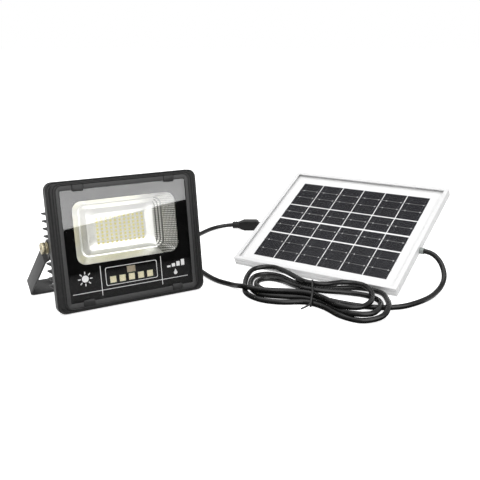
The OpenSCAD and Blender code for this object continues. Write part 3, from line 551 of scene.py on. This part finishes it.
softened("rear_housing", 0.5, black_paint)
softened("breather_vent", 0.5, black_nylon)
softened("lamp_gland", 0.5, black_nylon)
softened("glass_clips", 0.5, clip_metal)
softened("glass_seal", 0.3, seal_rubber)
for node in ("pivot_bolts", "spring_washers", "flat_washers"):
    softened(node, 0.25, passivated_steel)
softened("bezel_screws", 0.2, zinc_screw)
softened("lamp_bracket", 0.5, bracket_paint)
dress(lamp_glass, "front_glass")
dress(black_print, "glass_print")
dress(white_board, "led_board")
dress(phosphor, "led_chips")
dress(green_board, "control_board")
dress(cream_lens, "charge_indicators")
dress(receiver_resin, "remote_receiver")
dress(cell_sleeve, "battery_cells")
dress(black_nylon, "battery_tray")
dress(brass_pin, "plug_pins")

# White lines and small pictures printed behind the glass.
FACE = (-25.85, -25.75)
marks = [box_of(-41.4, -40.6, *FACE, -66.5, -28.5), box_of(41.2, 42.0, *FACE, -66.5, -28.5),
         box_of(-79.0, 79.0, *FACE, -60.1, -59.4)]
outline = swept_ring([(35.3, 11.8, -25.85), (34.6, 11.1, -25.85), (34.6, 11.1, -25.75),
                      (35.3, 11.8, -25.75), (35.3, 11.8, -25.85)], 2.5)
outline.location = (0.3, 0.0, -43.8)
marks.append(outline)
SUN_X, SUN_Z = -61.4, -42.0
RAY_OUT, RAY_HALF_LONG, RAY_HALF_WIDE = 7.6, 1.7, 0.6
for k in range(8):
    ray = radians(45.0 * k)
    x = SUN_X + RAY_OUT * cos(ray)
    z = SUN_Z + RAY_OUT * sin(ray)
    marks.append(box_of(x - RAY_HALF_LONG, x + RAY_HALF_LONG, *FACE,
                        z - RAY_HALF_WIDE, z + RAY_HALF_WIDE, -45.0 * k))
# the sun's disc, and a round base with a pointed top at the right
for corners, radius, x, z in ((32, 4.4, SUN_X, SUN_Z), (32, 2.6, 61.5, -53.2), (3, 2.7, 61.5, -50.9)):
    bpy.ops.mesh.primitive_cylinder_add(vertices=corners, radius=radius, depth=0.1,
                                        location=(x, -25.8, z), rotation=(radians(90.0), 0.0, 0.0))
    marks.append(bpy.context.active_object)
for k in range(4):
    marks.append(box_of(50.0 + 6.8 * k, 54.8 + 6.8 * k, *FACE, -45.0, -42.6 + 1.9 * k))
prints = joined(marks)
settle(prints, HEAD)
wear(prints, "glass_marks", print_white, "head")

# --- solar panel --------------------------------------------------------------------
HALF_W, HALF_H = 129.0, 109.25
LIP, WALL, LEDGE = 12.0, 1.5, 7.0              # how far each reaches in from the outer face
GROOVE = 0.55
profile = [
    (LIP, -1.5), (LIP, 0.0), (0.4, 0.0), (0.0, -0.4), (0.0, -3.2), (GROOVE, -3.4), (GROOVE, -4.2),
    (0.0, -4.4), (0.0, -8.6), (GROOVE, -8.8), (GROOVE, -9.6), (0.0, -9.8), (0.0, -13.3),
    (0.4, -13.7), (5.8, -13.7), (6.0, -13.5), (6.0, -12.2), (WALL, -12.2), (WALL, -8.0),
    (LEDGE, -8.0), (LEDGE, -6.5), (WALL, -6.5), (WALL, -1.5), (LIP, -1.5)]
frame_ring = swept_ring([(HALF_W - inset, HALF_H - inset, y) for inset, y in profile], 0.0)
upright = Euler((radians(-90.0), 0.0, 0.0)).to_matrix().to_4x4()
frame_ring.matrix_world = Matrix.Translation((HALF_W, HALF_H, 0.0)) @ upright
settle(frame_ring, PANEL)
# the hole in the right rail that the lead's grommet sits in
bpy.ops.mesh.primitive_cylinder_add(vertices=48, radius=4.2, depth=8.0,
                                    location=(256.0, EXIT_B, EXIT_C), rotation=(0.0, radians(90.0), 0.0))
drill = settle(bpy.context.active_object, PANEL)
only(frame_ring)
cut = frame_ring.modifiers.new("exit", "BOOLEAN")
cut.operation = "DIFFERENCE"
cut.object = drill
bpy.ops.object.modifier_apply(modifier="exit")
bpy.data.objects.remove(drill)
wear(frame_ring, "panel_frame_piece", anodised_frame, "panel", 30.0)
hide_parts("rail_near", "rail_far", "rail_left", "rail_right")

# solder dots on the bars of each column
DOT_ROWS = (36.0, 55.0, 92.7, 124.5, 161.3, 177.8)
dots = []
for i in range(6):
    for b in DOT_ROWS:
        for a in CELL_BARS:
            bpy.ops.mesh.primitive_cylinder_add(vertices=12, radius=1.0, depth=0.16,
                                                location=(CELL_FIRST + CELL_PITCH * i + a, b, 9.1))
            dots.append(bpy.context.active_object)
solder = joined(dots)
settle(solder, PANEL)
wear(solder, "solder_dots", white_sheet, "panel")

dress(panel_pane, "panel_glass")
dress(silicon, "solar_cells")
dress(tinned_ribbon, "cell_ribbons")
dress(white_sheet, "panel_backsheet")
dress(cast_corner, "corner_keys")
softened("junction_box", 0.6, black_nylon)
softened("junction_box_lid", 0.5, black_nylon)
softened("junction_box_screws", 0.15, zinc_screw)
softened("exit_grommet", 0.6, grey_grommet)
softened("panel_bracket", 0.4, stand_steel)
softened("panel_bracket_screws", 0.3, zinc_screw)
softened("stand_foot", 0.5, stand_steel)
for node in ("stand_bolt", "stand_washers", "stand_wing_nut"):
    softened(node, 0.3, stand_fastener)

# --- floor and light ------------------------------------------------------------------
def by_camera(tree, otherwise, seen, socket):
    """A strength that is one value to the camera and another to every other ray."""
    ray = tree.nodes.new("ShaderNodeLightPath")
    level = tree.nodes.new("ShaderNodeMapRange")
    level.inputs["To Min"].default_value = otherwise
    level.inputs["To Max"].default_value = seen
    tree.links.new(ray.outputs["Is Camera Ray"], level.inputs["Value"])
    tree.links.new(level.outputs["Result"], socket)


bpy.ops.mesh.primitive_plane_add(size=300.0, location=(0.0, 0.0, -0.0002))
ground = bpy.context.active_object
ground.name = "ground"
pale = finish_of("ground_white", grey(0.88), grey(0.9), 0.95, 0.0, 4.0)
tree = pale.node_tree
shader = tree.nodes["Principled BSDF"]
shader.inputs["Emission Color"].default_value = (1.0, 1.0, 1.0, 1.0)
shader.inputs["Specular IOR Level"].default_value = 0.1
by_camera(tree, 0.05, 0.7, shader.inputs["Emission Strength"])
ground.data.materials.append(pale)

world = bpy.data.worlds.new("room")
bpy.context.scene.world = world
world.use_nodes = True
sky = world.node_tree.nodes["Background"]
by_camera(world.node_tree, 0.5, 1.0, sky.inputs["Strength"])
sky.inputs["Color"].default_value = (1.0, 1.0, 1.0, 1.0)


def soft_light(name, at, aim, width, height, power):
    """A rectangular light, in metres and watts."""
    bpy.ops.object.light_add(type="AREA", location=at)
    light = bpy.context.active_object
    light.name = name
    light.data.shape = "RECTANGLE"
    light.data.size = width
    light.data.size_y = height
    light.data.energy = power
    light.rotation_euler = (Vector(aim) - Vector(at)).to_track_quat("-Z", "Y").to_euler()


soft_light("front_light", (0.35, -1.5, 0.75), (-0.15, -0.1, 0.08), 1.3, 1.0, 9.0)
soft_light("top_light", (-0.2, -0.2, 1.7), (0.0, 0.0, 0.0), 2.4, 2.0, 26.0)


FACE_HALF_W, FACE_HALF_H = 100.0, 81.0


def glass_mirror(u, v, away):
    """What the camera sees mirrored at u across and v up the lamp's face, away metres off."""
    at = head(u - FACE_HALF_W, -29.7, v - FACE_HALF_H)
    normal = (HEAD.to_3x3() @ Vector((0.0, -1.0, 0.0))).normalized()
    ray = (at - Vector(CAMERA_AT)).normalized()
    return at + (ray - 2.0 * ray.dot(normal) * normal) * away


def card(name, corners, material):
    """A flat card that only reflections show, and that isn't part of the object."""
    bpy.ops.mesh.primitive_plane_add(size=1.0, location=(0.0, 0.0, 0.0))
    piece = bpy.context.active_object
    piece.name = name
    for vertex, corner in zip(piece.data.vertices, corners):
        vertex.co = corner
    piece.data.materials.append(material)
    piece.visible_camera = False
    piece.visible_diffuse = False
    piece.visible_shadow = False
    piece.visible_transmission = False


# the softbox's lower edge, lengthened by half a metre at each end
edge_a = glass_mirror(4.0, 102.0, 1.1)
edge_b = glass_mirror(196.0, 125.0, 1.1)
along = (edge_b - edge_a).normalized()
edge_a = edge_a - along * 0.5
edge_b = edge_b + along * 0.5
rise = Vector((0.0, 0.0, 1.6))
glow, _, shader, _ = nodes_of("softbox_white")
shader.inputs["Base Color"].default_value = (0.0, 0.0, 0.0, 1.0)
shader.inputs["Emission Color"].default_value = (1.0, 1.0, 1.0, 1.0)
shader.inputs["Emission Strength"].default_value = 3.0
card("softbox", (edge_a, edge_b, edge_a + rise, edge_b + rise), glow)
dark = finish_of("flag_black", grey(0.002), grey(0.003), 0.9)
drop = Vector((0.0, 0.0, -0.6))
JUST_OVER_FLOOR = 0.0004                       # metres
card("flag", (edge_a + drop, edge_b + drop, edge_a, edge_b), dark)
toe_a, toe_b = head(-110.0, -34.0, -81.0), head(110.0, -34.0, -81.0)
far_a, far_b = edge_a.copy(), edge_b.copy()
for corner in (toe_a, toe_b, far_a, far_b):
    corner.z = JUST_OVER_FLOOR
card("floor_flag", (toe_a, toe_b, far_a, far_b), dark)

bpy.context.scene.view_settings.view_transform = "Standard"
bpy.context.scene.view_settings.look = "None"
